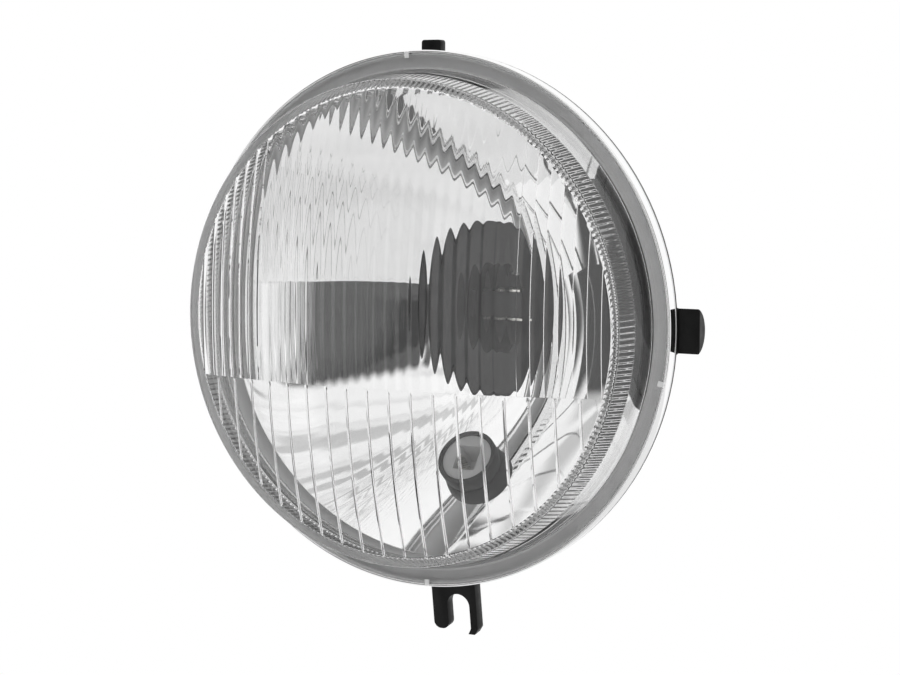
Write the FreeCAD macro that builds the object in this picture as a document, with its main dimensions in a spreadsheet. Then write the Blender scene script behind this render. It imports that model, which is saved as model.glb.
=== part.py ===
import FreeCAD, Part
import math
import os

import Sketcher
from FreeCAD import Placement, Rotation, Vector

# Headlight reflector insert of a small motorbike: a bright bowl with a fluted glass lens, held by a black
# ring that carries two pivot lugs, a top tab and an adjuster fork.
# Millimetres. The origin is where the lamp axis crosses the pivot axis.
# +X runs along the pivot axis, +Y backwards along the lamp axis, +Z up. The lens faces -Y.

SIZES = {
    # From the rim's lip back to the pivot axis
    "pivot_setback": 4.1,
    # Bright rim and bowl
    "rim_radius": 75.0,
    "sheet_wall": 0.8,
    "rim_depth": 4.5,
    "channel_width": 6.8,
    "skirt_depth": 7.0,
    "skirt_draft": 0.4,
    "bowl_focus": 27.5,
    "bowl_wall": 1.4,
    "neck_radius": 26.0,
    "neck_length": 12.0,
    "crimp_width": 1.4,
    "crimp_reach": 0.8,
    "crimp_thickness": 0.6,
    "crimp_gap": 0.05,
    # Glass lens
    "flange_gap": 0.5,
    "flange_recess": 0.3,
    "flange_thickness": 2.7,
    "flange_width": 3.8,
    "wall_draft": 3.1,
    "dome_edge_rise": 15.4,
    "dome_radius": 205.0,
    "lens_wall": 3.3,
    "dome_wall": 3.5,
    "edge_round": 1.2,
    "foot_round": 0.8,
    "split_drop": 16.7,
    "fine_pitch": 3.62,
    "fine_depth": 0.08,
    "fine_flutes_per_side": 11,
    "side_depth": 0.12,
    "side_step": 0.5,
    "rib_pitch": 6.58,
    "rib_width": 0.8,
    "rib_height": 0.32,
    "pane_depth": 0.25,
    "knurl_teeth": 264,
    "knurl_depth": 0.3,
    "knurl_start": 5.0,
    "knurl_land": 0.5,
    # Sealant bead
    "bead_recess": 0.9,
    "bead_width": 3.5,
    # Black mounting ring with its lugs, tab and fork
    "ring_edge": 0.8,
    "ring_depth": 6.5,
    "ring_back_width": 2.3,
    "ring_clearance": 0.3,
    "ring_inset": 0.1,
    "lug_radius": 6.3,
    "lug_setback": 1.9,
    "lug_length": 5.75,
    "lug_clearance": 0.1,
    "lug_round": 0.4,
    "tab_width": 6.0,
    "tab_thickness": 2.8,
    "tab_setback": 6.9,
    "tab_height": 3.0,
    "tab_round": 0.8,
    "fork_setback": 21.5,
    "fork_thickness": 3.5,
    "fork_lean": 9.0,
    "fork_slot_width": 7.2,
    "fork_slot_depth": 11.1,
    "fork_thick_leg": 4.8,
    "fork_thin_leg": 2.3,
    "fork_drop": 18.0,
    "fork_tip_round": 2.1,
    "fork_hook": 0.9,
    "shelf_thickness": 3.5,
    # Main bulb holder
    "holder_fit": 0.2,
    "holder_recess": 2.5,
    "bore_radius": 13.3,
    "holder_flange_width": 5.0,
    "holder_flange": 3.0,
    "gasket_thickness": 1.5,
    "gasket_width": 4.0,
    "cap_wall": 6.7,
    "cap_length": 9.0,
    "cap_floor": 3.0,
    "carrier_height": 7.9,
    "carrier_depth": 7.0,
    "carrier_fit": 0.1,
    "contact_thickness": 0.8,
    "contact_nose": 0.6,
    "upper_contact_width": 9.5,
    "lower_contact_width": 18.8,
    "blade_width": 6.3,
    "blade_thickness": 0.8,
    "blade_length": 16.0,
    "blade_offset": 9.0,
    "blade_fit": 0.05,
    "blade_hole_radius": 1.0,
    "blade_hole_inset": 4.0,
    # Pilot lamp socket
    "pilot_inset": 22.7,
    "grommet_collar": 0.65,
    "grommet_reach": 5.6,
    "grommet_seat": 0.6,
    "grommet_wall": 0.7,
    "grommet_fit": 0.1,
    "grommet_back_collar": 1.9,
    "grommet_back": 3.0,
    "socket_radius": 7.5,
    "socket_fit": 0.05,
    "socket_recess": 0.6,
    "socket_shoulder": 1.35,
    "socket_body": 9.8,
    "wedge_width": 7.0,
    "wedge_height": 8.0,
    "wedge_depth": 9.0,
    "pilot_contact_thickness": 0.5,
    "pilot_contact_width": 4.0,
    "pilot_contact_inset": 1.5,
    "pilot_contact_tail": 6.0,
    "pilot_contact_fit": 0.05,
}

# Places that several pieces share, worked out from the sizes.
PLACES = {
    "lip": "=-Sizes.pivot_setback",
    "lip_inner_radius": "=Sizes.rim_radius - Sizes.sheet_wall",
    "rim_back": "=lip + Sizes.rim_depth",
    "channel_floor": "=rim_back - Sizes.sheet_wall",
    "mouth_radius": "=Sizes.rim_radius - Sizes.channel_width",
    "skirt_radius": "=mouth_radius + Sizes.sheet_wall",
    "bowl_edge": "=channel_floor + Sizes.skirt_depth",
    "bowl_edge_radius": "=mouth_radius - Sizes.skirt_draft",
    "bowl_vertex": "=bowl_edge + bowl_edge_radius^2 / (4 * Sizes.bowl_focus)",
    "back_vertex": "=bowl_vertex + Sizes.bowl_wall",
    "neck_start": "=bowl_vertex - Sizes.neck_radius^2 / (4 * Sizes.bowl_focus)",
    "neck_end": "=neck_start + Sizes.neck_length",
    "flange_radius": "=lip_inner_radius - Sizes.flange_gap",
    "flange_front": "=lip + Sizes.flange_recess",
    "flange_back": "=flange_front + Sizes.flange_thickness",
    "wall_foot_radius": "=flange_radius - Sizes.flange_width",
    "dome_edge_radius": "=wall_foot_radius - Sizes.wall_draft",
    "wall_slope": "=Sizes.wall_draft / (Sizes.dome_edge_rise + Sizes.flange_recess)",
    "dome_edge": "=lip - Sizes.dome_edge_rise",
    "dome_centre": "=dome_edge + sqrt(Sizes.dome_radius^2 - dome_edge_radius^2)",
    "dome_front": "=dome_centre - Sizes.dome_radius",
    "cavity_foot_radius": "=wall_foot_radius + wall_slope * Sizes.flange_thickness - Sizes.lens_wall",
    "bead_inner_radius": "=flange_radius - Sizes.bead_width",
    "bead_front": "=lip + Sizes.bead_recess",
    "ring_front": "=rim_back",
    "ring_back": "=ring_front + Sizes.ring_depth",
    "ring_radius": "=Sizes.rim_radius - Sizes.ring_inset",
    "ring_inner_radius": "=skirt_radius + Sizes.ring_clearance",
    "ring_back_radius": "=ring_inner_radius + Sizes.ring_back_width",
    "lug_reach": "=Sizes.rim_radius + Sizes.lug_length",
    "tab_front": "=lip + Sizes.tab_setback",
    "tab_top": "=Sizes.rim_radius + Sizes.tab_height",
    "fork_front": "=lip + Sizes.fork_setback",
    "fork_root": "=ring_inner_radius + Sizes.shelf_thickness / 2",
    "fork_length": "=(Sizes.rim_radius + Sizes.fork_drop - fork_root) / cos(Sizes.fork_lean * 1 deg)",
    "fork_slot_height": "=Sizes.fork_slot_depth / cos(Sizes.fork_lean * 1 deg)",
    "holder_front": "=neck_start + Sizes.holder_recess",
    "holder_seat": "=neck_end + Sizes.gasket_thickness",
    "holder_radius": "=Sizes.neck_radius - Sizes.holder_fit",
    "holder_flange_radius": "=Sizes.neck_radius + Sizes.holder_flange_width",
    "gasket_radius": "=Sizes.neck_radius + Sizes.gasket_width",
    "cap_radius": "=Sizes.bore_radius + Sizes.cap_wall",
    "cap_start": "=holder_seat + Sizes.holder_flange",
    "cap_end": "=cap_start + Sizes.cap_length",
    "cap_inside": "=cap_end - Sizes.cap_floor",
    "carrier_front": "=cap_inside - Sizes.carrier_depth",
    "carrier_half": "=sqrt(Sizes.bore_radius^2 - Sizes.carrier_height^2 / 4) - Sizes.carrier_fit",
    "pilot_drop": "=mouth_radius - Sizes.pilot_inset",
    "pilot_depth": "=bowl_vertex - pilot_drop^2 / (4 * Sizes.bowl_focus)",
    "pilot_rise": "=atan(pilot_drop / (2 * Sizes.bowl_focus)) / 1 deg",
    "pilot_wall": "=Sizes.bowl_wall * cos(pilot_rise * 1 deg)",
    "grommet_bore_radius": "=Sizes.socket_radius + Sizes.socket_fit",
    "grommet_neck_radius": "=grommet_bore_radius + Sizes.grommet_wall",
    "grommet_radius": "=grommet_neck_radius + Sizes.grommet_collar",
    "grommet_back_radius": "=grommet_neck_radius + Sizes.grommet_back_collar",
    "grommet_back_front": "=-pilot_wall - Sizes.grommet_fit",
    "grommet_end": "=grommet_back_front - Sizes.grommet_back",
    "socket_front": "=Sizes.grommet_reach - Sizes.socket_recess",
    "socket_end": "=grommet_end - Sizes.socket_body",
    "socket_body_radius": "=Sizes.socket_radius + Sizes.socket_shoulder",
    "wedge_floor": "=socket_front - Sizes.wedge_depth",
}

NODES = (
    "reflector",
    "front_lens",
    "lens_sealant",
    "mounting_ring",
    "bulb_holder",
    "neck_gasket",
    "contact_carrier",
    "upper_contact",
    "lower_contact",
    "dip_terminal",
    "main_terminal",
    "earth_terminal",
    "pilot_grommet",
    "pilot_socket",
    "pilot_contact_left",
    "pilot_contact_right",
)

# Each terminal's centre in X and Z, and whether its blade stands upright.
BLADES = {
    "dip_terminal": (("-Sizes.blade_offset", "0"), True),
    "main_terminal": (("Sizes.blade_offset", "0"), True),
    "earth_terminal": (("0", "Sizes.blade_offset"), False),
}
# Each pilot contact's side of the wedge slot in X.
SIDES = {"pilot_contact_left": -1, "pilot_contact_right": 1}

X_AXIS = Vector(1, 0, 0)
Y_AXIS = Vector(0, 1, 0)
BACKWARDS = Rotation(X_AXIS, -90)
FORWARDS = Rotation(X_AXIS, 90)
TO_THE_RIGHT = Rotation(Y_AXIS, 90)
# Angles of the lip's crimped tabs, seen from the front, from +X towards +Z.
CRIMP_ANGLES = (93.0, -10.7, -88.0)
# The most of a leg's width that the rounding of its tip may take on each side.
TIP_SHARE = 0.45
# Where a rib's side is at half of its height, as a share of its half width; over a half, so that it bulges.
RIB_BEND = 0.7
# How far a cutting shape runs past the face that it cuts.
OVERSHOOT = 1.0
# Lengths closer than this are the same.
SAME = 1e-4

doc = FreeCAD.newDocument("reflector_insert")


def fill_sheet(name, rows):
    """Write one row for each alias: its name, then its number or formula."""
    sheet = doc.addObject("Spreadsheet::Sheet", name)
    for row, (alias, content) in enumerate(rows.items(), start=1):
        sheet.set("A%d" % row, alias)
        sheet.setAlias("B%d" % row, alias)
        sheet.set("B%d" % row, str(content))
    doc.recompute()
    return sheet


sizes = fill_sheet("Sizes", SIZES)
places = fill_sheet("Places", PLACES)


def size(alias):
    return float(sizes.get(alias))


def place(alias):
    return float(places.get(alias))


def bind(piece, formulas):
    """Bind each named property of a piece to its formula."""
    for prop, formula in formulas.items():
        piece.setExpression(prop, formula)
    return piece


def primitive(kind, name, dimensions, position=("0", "0", "0"), turn=Rotation()):
    """A Part primitive whose dimensions and position are formulas."""
    piece = doc.addObject("Part::" + kind, name)
    piece.Placement = Placement(Vector(), turn)
    bind(piece, dimensions)
    for axis, formula in zip("xyz", position):
        piece.setExpression("Placement.Base." + axis, formula)
    return piece


def box(name, low, spans):
    dimensions = dict(zip(("Length", "Width", "Height"), spans))
    return primitive("Box", name, dimensions, low)


def disc(name, radius, start, length, turn=BACKWARDS):
    """A cylinder on the lamp axis, from a depth backwards."""
    return primitive("Cylinder", name, {"Radius": radius, "Height": length}, ("0", start, "0"), turn)


def cut(name, base, tool):
    piece = doc.addObject("Part::Cut", name)
    piece.Base = base
    piece.Tool = tool
    return piece


def common(name, base, tool):
    piece = doc.addObject("Part::Common", name)
    piece.Base = base
    piece.Tool = tool
    return piece


def fuse(name, shapes):
    piece = doc.addObject("Part::MultiFuse", name)
    piece.Shapes = shapes
    return piece


def solid(name, shape):
    piece = doc.addObject("Part::Feature", name)
    piece.Shape = shape
    return piece


def turned(name, corners):
    """A body turned about the lamp axis from corners given as radius and depth formulas."""
    body = doc.addObject("PartDesign::Body", name)
    profile = body.newObject("Sketcher::SketchObject", name + "_profile")
    plane = next(part for part in body.Origin.OriginFeatures if part.Role == "XY_Plane")
    profile.AttachmentSupport = (plane, [""])
    profile.MapMode = "FlatFace"
    count = len(corners)
    step = 2 * math.pi / count
    rough = [Vector(2 + math.cos(step * i), math.sin(step * i), 0) for i in range(count)]
    for i in range(count):
        profile.addGeometry(Part.LineSegment(rough[i], rough[(i + 1) % count]))
    for i in range(count):
        profile.addConstraint(Sketcher.Constraint("Coincident", i, 2, (i + 1) % count, 1))
    for i, (radius, depth) in enumerate(corners):
        across = profile.addConstraint(Sketcher.Constraint("DistanceX", -1, 1, i, 1, rough[i].x))
        profile.setExpression("Constraints[%d]" % across, radius)
        along = profile.addConstraint(Sketcher.Constraint("DistanceY", -1, 1, i, 1, rough[i].y))
        profile.setExpression("Constraints[%d]" % along, depth)
    turn = body.newObject("PartDesign::Revolution", name + "_turn")
    turn.Profile = profile
    turn.ReferenceAxis = (profile, ["V_Axis"])
    turn.Angle = 360
    return body


def rounded(name, base, radius, chosen):
    """Round the edges of a piece that a test picks."""
    doc.recompute()
    piece = doc.addObject("Part::Fillet", name)
    piece.Base = base
    edges = enumerate(base.Shape.Edges, start=1)
    piece.Edges = [(index, radius, radius) for index, edge in edges if chosen(edge)]
    return piece


def near(value, target):
    return abs(value - target) < SAME


def ring_edge(radius, depth):
    """A test that picks the circular edge about the lamp axis with this radius and depth."""
    def test(edge):
        curve = edge.Curve
        return isinstance(curve, Part.Circle) and near(curve.Radius, radius) and near(curve.Center.y, depth)
    return test


def parabola(inner, outer, vertex):
    """The exact parabola between two radii, as a quadratic curve in the XY plane."""
    four_f = 4 * size("bowl_focus")
    curve = Part.BezierCurve()
    curve.setPoles([
        Vector(inner, vertex - inner ** 2 / four_f, 0),
        Vector((inner + outer) / 2, vertex - inner * outer / four_f, 0),
        Vector(outer, vertex - outer ** 2 / four_f, 0),
    ])
    return curve.toShape()


def line(start, end):
    return Part.LineSegment(start, end).toShape()


def bowl_shell():
    """Rim, channel, skirt, paraboloid and neck of the pressed sheet, turned in one."""
    wall = size("sheet_wall")
    rim = size("rim_radius")
    lip_inner = place("lip_inner_radius")
    floor = place("channel_floor")
    neck = size("neck_radius")
    bowl_edge = place("bowl_edge_radius")
    front_curve = parabola(neck, bowl_edge, place("bowl_vertex"))
    back_curve = parabola(neck + wall, bowl_edge + wall, place("back_vertex"))
    neck_end = place("neck_end")
    lip_depth = place("lip")
    lip_start = Vector(lip_inner, lip_depth + wall / 2, 0)
    lip_end = Vector(rim, lip_depth + wall / 2, 0)
    lip = Part.Arc(lip_start, Vector(rim - wall / 2, lip_depth, 0), lip_end).toShape()
    corner = Vector(rim, place("rim_back"), 0)
    skirt_back = Vector(place("skirt_radius"), place("rim_back"), 0)
    skirt_front = Vector(place("mouth_radius"), floor, 0)
    edges = [
        lip,
        line(lip_end, corner),
        line(corner, skirt_back),
        line(skirt_back, back_curve.Vertexes[1].Point),
        back_curve,
        line(back_curve.Vertexes[0].Point, Vector(neck + wall, neck_end, 0)),
        line(Vector(neck + wall, neck_end, 0), Vector(neck, neck_end, 0)),
        line(Vector(neck, neck_end, 0), front_curve.Vertexes[0].Point),
        front_curve,
        line(front_curve.Vertexes[1].Point, skirt_front),
        line(skirt_front, Vector(lip_inner, floor, 0)),
        line(Vector(lip_inner, floor, 0), lip_start),
    ]
    profile = Part.Face(Part.Wire(Part.__sortEdges__(edges)))
    return profile.revolve(Vector(), Y_AXIS, 360)


def fluted_fan(arcs, start_angle, end_angle):
    """The hollow behind one field: a row of arcs turned about a cross axis through the dome's centre.

    Each arc has a start, a middle and an end, given as the place across and the depth cut into the dome.
    """
    centre = place("dome_centre")
    ridge_radius = size("dome_radius") - size("dome_wall")
    rear = place("flange_back") + OVERSHOOT

    def point(across, depth):
        return Vector(across, centre - math.sqrt(ridge_radius ** 2 - across ** 2) - depth, 0)

    first = point(*arcs[0][0])
    last = first
    edges = []
    for arc in arcs:
        start, middle, end = [point(*spot) for spot in arc]
        if not near(start.y, last.y):
            edges.append(line(last, start))
        edges.append(Part.Arc(start, middle, end).toShape())
        last = end
    rear_first = Vector(first.x, rear, 0)
    rear_last = Vector(last.x, rear, 0)
    edges.append(line(last, rear_last))
    edges.append(line(rear_last, rear_first))
    edges.append(line(rear_first, first))
    section = Part.Face(Part.Wire(Part.__sortEdges__(edges)))
    axis_point = Vector(0, centre, 0)
    section.rotate(axis_point, X_AXIS, start_angle)
    return section.revolve(axis_point, X_AXIS, end_angle - start_angle)


def upper_field():
    """Fine flutes in the middle, and leaning ones of the same pitch with steps between them at both sides."""
    pitch = size("fine_pitch")
    reach = math.ceil(place("dome_edge_radius") / pitch)
    fine = int(size("fine_flutes_per_side"))
    arcs = []
    for step in range(-reach, reach):
        depth = size("fine_depth")
        left_end = 0
        right_end = 0
        if step >= fine:
            left_end = size("side_step")
        if step < -fine:
            right_end = size("side_step")
        if left_end or right_end:
            depth = size("side_depth") + size("side_step") / 2
        left = pitch * step
        arcs.append(((left, left_end), (left + pitch / 2, depth), (left + pitch, right_end)))
    return arcs


def lower_field():
    """Wide plain panes between thin round ribs, with one pane on the middle line."""
    pitch = size("rib_pitch")
    half = size("rib_width") / 2
    pane = size("pane_depth")
    crest = pane - size("rib_height")
    waist = (pane + crest) / 2
    reach = math.ceil(place("dome_edge_radius") / pitch)
    arcs = []
    for step in range(-reach, reach + 1):
        middle = pitch * step
        left = middle - pitch / 2
        right = middle + pitch / 2
        arcs.append(((left, crest), (left + half * RIB_BEND, waist), (left + half, pane)))
        arcs.append(((left + half, pane), (middle, pane), (right - half, pane)))
        arcs.append(((right - half, pane), (right - half * RIB_BEND, waist), (right, crest)))
    return arcs


def fluted_hollow():
    """Both fields of flutes, which meet in a ledge at the dividing line."""
    ridge_radius = size("dome_radius") - size("dome_wall")
    split_angle = math.degrees(math.asin(size("split_drop") / ridge_radius))
    end_angle = math.degrees(math.asin(place("wall_foot_radius") / ridge_radius)) + OVERSHOOT
    upper = fluted_fan(upper_field(), -end_angle, split_angle)
    lower = fluted_fan(lower_field(), split_angle, end_angle)
    return upper.fuse(lower)


def toothed_ring(depth):
    """One section of the knurl: a star whose points reach into the side wall."""
    teeth = int(size("knurl_teeth"))
    wall = place("cavity_foot_radius") - place("wall_slope") * (place("flange_back") - depth)
    points = []
    for step in range(2 * teeth):
        angle = math.pi * step / teeth
        radius = wall + size("knurl_depth") * (1 if step % 2 else -0.5)
        points.append(Vector(radius * math.cos(angle), depth, radius * math.sin(angle)))
    return Part.makePolygon(points + points[:1])


def knurl_teeth():
    """The knurl's grooves, between the lens's foot and the edge of its inner dome."""
    ridge_radius = size("dome_radius") - size("dome_wall")
    inner_edge = place("dome_centre") - math.sqrt(ridge_radius ** 2 - place("dome_edge_radius") ** 2)
    front = inner_edge - place("wall_slope") * size("lens_wall") + size("knurl_land")
    return Part.makeLoft([toothed_ring(place("lip") - size("knurl_start")), toothed_ring(front)], True, True)


def make_front_lens():
    front = "(Places.dome_front - %g)" % OVERSHOOT
    front_radius = "Places.wall_foot_radius + Places.wall_slope * (%s - Places.flange_front)" % front
    blank = turned("lens_blank", [
        ("0", front),
        (front_radius, front),
        ("Places.wall_foot_radius", "Places.flange_front"),
        ("Places.flange_radius", "Places.flange_front"),
        ("Places.flange_radius", "Places.flange_back"),
        ("0", "Places.flange_back"),
    ])
    dome = primitive("Sphere", "lens_dome", {"Radius": "Sizes.dome_radius"}, ("0", "Places.dome_centre", "0"))
    outside = common("lens_outside", blank, dome)
    dome_edge = ring_edge(place("dome_edge_radius"), place("dome_edge"))
    foot = ring_edge(place("wall_foot_radius"), place("flange_front"))
    flange_edge = ring_edge(place("flange_radius"), place("flange_front"))
    edged = rounded("lens_edged", outside, size("edge_round"), dome_edge)
    footed = rounded("lens_footed", edged, size("foot_round"), foot)
    pressed = rounded("lens_pressing", footed, size("foot_round"), flange_edge)
    length = "(Places.flange_back - Places.dome_front + %g)" % OVERSHOOT
    cone = primitive("Cone", "lens_side", {
        "Radius1": "Places.cavity_foot_radius",
        "Radius2": "Places.cavity_foot_radius - Places.wall_slope * " + length,
        "Height": length,
    }, ("0", "Places.flange_back", "0"), FORWARDS)
    hollow = common("lens_hollow", cone, solid("flutes", fluted_hollow()))
    hollowed = cut("lens_hollowed", pressed, hollow)
    return cut("front_lens", hollowed, solid("knurl", knurl_teeth()))


def make_lens_sealant():
    """A bead that fills the channel under the flange and round its edge."""
    return turned("lens_sealant", [
        ("Places.bead_inner_radius", "Places.flange_back"),
        ("Places.flange_radius", "Places.flange_back"),
        ("Places.flange_radius", "Places.bead_front"),
        ("Places.lip_inner_radius", "Places.bead_front"),
        ("Places.lip_inner_radius", "Places.channel_floor"),
        ("Places.bead_inner_radius", "Places.channel_floor"),
    ])


def pilot_position(across, up, along):
    """Place a point given in the pilot socket's own axes: across, up the bowl, and out along its normal."""
    rise = "(Places.pilot_rise * 1 deg)"
    return (
        across,
        "Places.pilot_depth + (%s) * sin(%s) - (%s) * cos(%s)" % (up, rise, along, rise),
        "-Places.pilot_drop + (%s) * cos(%s) + (%s) * sin(%s)" % (up, rise, along, rise),
    )


def on_pilot_axis(piece):
    """Turn a primitive so that its height runs out along the bowl's normal at the pilot hole."""
    piece.setExpression("Placement.Rotation.Angle", "90 deg - Places.pilot_rise * 1 deg")
    return piece


def pilot_rod(name, radius, start, end):
    dimensions = {"Radius": radius, "Height": "(%s) - (%s)" % (end, start)}
    return on_pilot_axis(primitive("Cylinder", name, dimensions, pilot_position("0", "0", start), FORWARDS))


def pilot_box(name, low_across, low_along, spans):
    """A box that is centred up the bowl."""
    dimensions = dict(zip(("Length", "Width", "Height"), spans))
    position = pilot_position(low_across, "-(%s) / 2" % spans[1], low_along)
    return on_pilot_axis(primitive("Box", name, dimensions, position, FORWARDS))


def make_crimp(index, angle):
    """A small tab of the lip, pressed in over the edge of the lens."""
    turn = Rotation(Y_AXIS, -angle)
    low = "(Places.flange_radius - Sizes.crimp_reach)"
    span = "Sizes.rim_radius - Sizes.sheet_wall / 2 - " + low
    half = "Sizes.crimp_width / 2"
    position = (
        "%s * cos(%g deg) + %s * sin(%g deg)" % (low, angle, half, angle),
        "Places.flange_front - Sizes.crimp_gap - Sizes.crimp_thickness",
        "%s * sin(%g deg) - %s * cos(%g deg)" % (low, angle, half, angle),
    )
    dimensions = {"Length": span, "Width": "Sizes.crimp_thickness", "Height": "Sizes.crimp_width"}
    return primitive("Box", "lip_crimp_%d" % index, dimensions, position, turn)


def make_reflector():
    shell = solid("bowl_shell", bowl_shell())
    crimps = [make_crimp(index, angle) for index, angle in enumerate(CRIMP_ANGLES, start=1)]
    hole = pilot_rod("pilot_hole", "Places.grommet_neck_radius + Sizes.grommet_fit",
                     "-2 * Sizes.grommet_back", "Sizes.grommet_reach")
    return cut("reflector", fuse("crimped_bowl", [shell] + crimps), hole)


def make_lugs():
    """Two half-round pivot lugs, one at each end of the pivot axis; their flat fronts start outside the rim."""
    past = "(Sizes.lug_radius + %g)" % OVERSHOOT
    reach = "(Places.lug_reach + %g)" % OVERSHOOT
    rod = primitive("Cylinder", "lug_rod", {"Radius": "Sizes.lug_radius", "Height": "2 * Places.lug_reach"},
                    ("-Places.lug_reach", "0", "0"), TO_THE_RIGHT)
    block = box("lug_front_block", ("-" + reach, "-" + past, "-" + past),
                ("2 * " + reach, past + " + Sizes.lug_setback", "2 * " + past))
    root_radius = "Sizes.rim_radius + Sizes.lug_clearance"
    front = cut("lug_front", block, disc("lug_root", root_radius, "-" + past, "2 * " + past))
    ring_middle = "(Places.ring_radius + Places.ring_inner_radius) / 2"
    inside = disc("lug_inside", ring_middle, "-" + past, "2 * " + past)
    rim = disc("lug_rim", root_radius, "-" + past, past + " + Places.ring_front")
    lugs = cut("lug_blanks", rod, fuse("lug_waste", [front, inside, rim]))
    lug_end = place("lug_reach")
    return rounded("pivot_lugs", lugs, size("lug_round"),
                   lambda edge: all(near(abs(end.X), lug_end) for end in edge.Vertexes))


def make_fork():
    """A leaning plate with an open slot between a thick leg and a thin hooked one."""
    left = "(Sizes.fork_slot_width / 2 + Sizes.fork_thick_leg)"
    width = left + " + Sizes.fork_slot_width / 2 + Sizes.fork_thin_leg"
    through = "Sizes.fork_thickness + %g" % (2 * OVERSHOOT)
    before = "-%g" % OVERSHOOT
    arch = "Places.fork_slot_height - Places.fork_length - Sizes.fork_slot_width / 2"
    plate = box("fork_plate", ("-" + left, "0", "-Places.fork_length"),
                (width, "Sizes.fork_thickness", "Places.fork_length"))
    slot = box("fork_slot", ("-Sizes.fork_slot_width / 2", before, "-Places.fork_length - %g" % OVERSHOOT),
               ("Sizes.fork_slot_width", through,
                "Places.fork_slot_height - Sizes.fork_slot_width / 2 + %g" % OVERSHOOT))
    arch_top = primitive("Cylinder", "fork_arch", {"Radius": "Sizes.fork_slot_width / 2", "Height": through},
                         ("0", before, arch), BACKWARDS)
    hook_start = "(Sizes.fork_hook - Places.fork_length)"
    trim = box("fork_trim", ("0", before, "-Places.fork_length - %g" % OVERSHOOT),
               (width, through, "Sizes.fork_hook + %g" % OVERSHOOT))
    slotted = cut("fork_slotted", plate, fuse("fork_opening", [slot, arch_top, trim]))
    hook = primitive("Wedge", "fork_hook_tip", {
        "Xmin": "Sizes.fork_slot_width / 2",
        "Xmax": "Sizes.fork_slot_width / 2 + Sizes.fork_thin_leg",
        "X2min": "Sizes.fork_slot_width / 2 - Sizes.fork_hook",
        "X2max": "Sizes.fork_slot_width / 2 + Sizes.fork_thin_leg / 2",
        "Ymin": "0",
        "Ymax": "2 * Sizes.fork_hook",
        "Zmin": "0",
        "Zmax": "Sizes.fork_thickness",
        "Z2min": "0",
        "Z2max": "Sizes.fork_thickness",
    }, ("0", "0", hook_start), BACKWARDS)
    tip = -place("fork_length")
    tip_round = min(size("fork_tip_round"), TIP_SHARE * size("fork_thick_leg"))
    ended = rounded("fork_ended", slotted, tip_round,
                    lambda edge: all(near(end.Z, tip) for end in edge.Vertexes)
                    and near(edge.Vertexes[0].X, edge.Vertexes[-1].X))
    fork = fuse("fork", [ended, hook])
    fork.Placement = Placement(Vector(), Rotation(X_AXIS, 45))
    return bind(fork, {
        "Placement.Rotation.Angle": "Sizes.fork_lean * 1 deg",
        "Placement.Base.y": "Places.fork_front",
        "Placement.Base.z": "-Places.fork_root",
    })


def make_mounting_ring():
    ring = turned("ring_band", [
        ("Places.ring_inner_radius", "Places.ring_front"),
        ("Places.ring_radius", "Places.ring_front"),
        ("Places.ring_radius", "Places.ring_front + Sizes.ring_edge"),
        ("Places.ring_back_radius", "Places.ring_back"),
        ("Places.ring_inner_radius", "Places.ring_back"),
    ])
    tab = box("top_tab", ("-Sizes.tab_width / 2", "Places.tab_front", "Places.ring_inner_radius"),
              ("Sizes.tab_width", "Sizes.tab_thickness", "Places.tab_top - Places.ring_inner_radius"))
    shelf_start = "(Places.ring_back - Sizes.shelf_thickness / 2)"
    left = "(Sizes.fork_slot_width / 2 + Sizes.fork_thick_leg)"
    shelf = box("fork_shelf",
                ("-" + left, shelf_start, "-Places.ring_inner_radius - Sizes.shelf_thickness"),
                (left + " + Sizes.fork_slot_width / 2 + Sizes.fork_thin_leg",
                 "Places.fork_front + Sizes.fork_thickness - " + shelf_start,
                 "Sizes.shelf_thickness"))
    top = place("tab_top")
    half = size("tab_width") / 2
    eased = rounded("top_tab_eased", tab, size("tab_round"),
                    lambda edge: all(near(end.Z, top) and near(abs(end.X), half) for end in edge.Vertexes)
                    and near(edge.Vertexes[0].X, edge.Vertexes[-1].X))
    return fuse("mounting_ring", [ring, make_lugs(), eased, shelf, make_fork()])


def blade_box(name, centre, upright, start, end, extra):
    """A box round a terminal blade's section, wider by extra on every side."""
    width = "Sizes.blade_width + 2 * (%s)" % extra
    thickness = "Sizes.blade_thickness + 2 * (%s)" % extra
    across, height = (thickness, width) if upright else (width, thickness)
    low = ("%s - (%s) / 2" % (centre[0], across), start, "%s - (%s) / 2" % (centre[1], height))
    return box(name, low, (across, "(%s) - (%s)" % (end, start), height))


def make_terminal(name):
    """A flat blade from the inside of the cap's floor out behind it, with a hole near its end."""
    centre, upright = BLADES[name]
    end = "Places.cap_end + Sizes.blade_length"
    blade = blade_box(name + "_blade", centre, upright, "Places.cap_inside", end, "0")
    turn = TO_THE_RIGHT if upright else Rotation()
    reach = "Sizes.blade_thickness"
    position = (
        "%s - %s" % (centre[0], reach) if upright else centre[0],
        end + " - Sizes.blade_hole_inset",
        centre[1] if upright else "%s - %s" % (centre[1], reach),
    )
    dimensions = {"Radius": "Sizes.blade_hole_radius", "Height": "2 * " + reach}
    return cut(name, blade, primitive("Cylinder", name + "_hole", dimensions, position, turn))


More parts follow.
